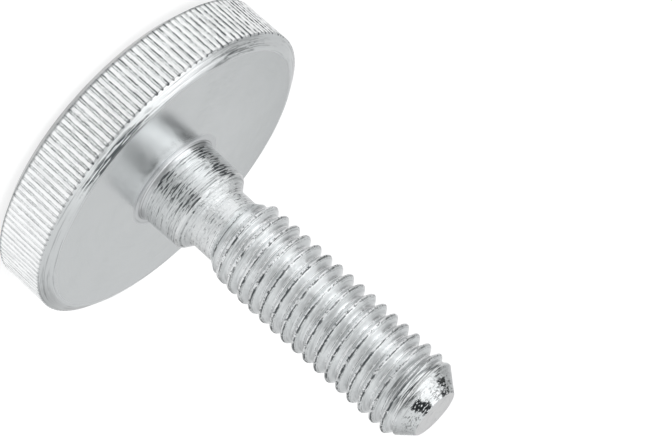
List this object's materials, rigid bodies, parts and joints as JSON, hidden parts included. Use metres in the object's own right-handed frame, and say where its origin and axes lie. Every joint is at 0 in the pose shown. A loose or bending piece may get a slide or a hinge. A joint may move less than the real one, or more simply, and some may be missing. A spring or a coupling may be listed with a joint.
{
  "type": "knurled head screw",
  "caption": "Thin wide knurled thumb screw with a collar, a relieved neck and a metric threaded shank, turned by hand to clamp or adjust.",
  "frame": {"origin": "centre of the head's flat outer face", "axes": "+Z along the screw's axis, from the head's outer face towards the tip; X and Y are free to choose, because the knurl repeats every 2.4 degrees"},
  "size_m": [0.03, 0.03, 0.036],
  "materials": {
    "zinc_plated_steel": "bright zinc plate over turned steel, satin with fine turning marks"
  },
  "bodies": {
    "root": {"knurled_screw": "zinc_plated_steel"}
  },
  "joints": []
}
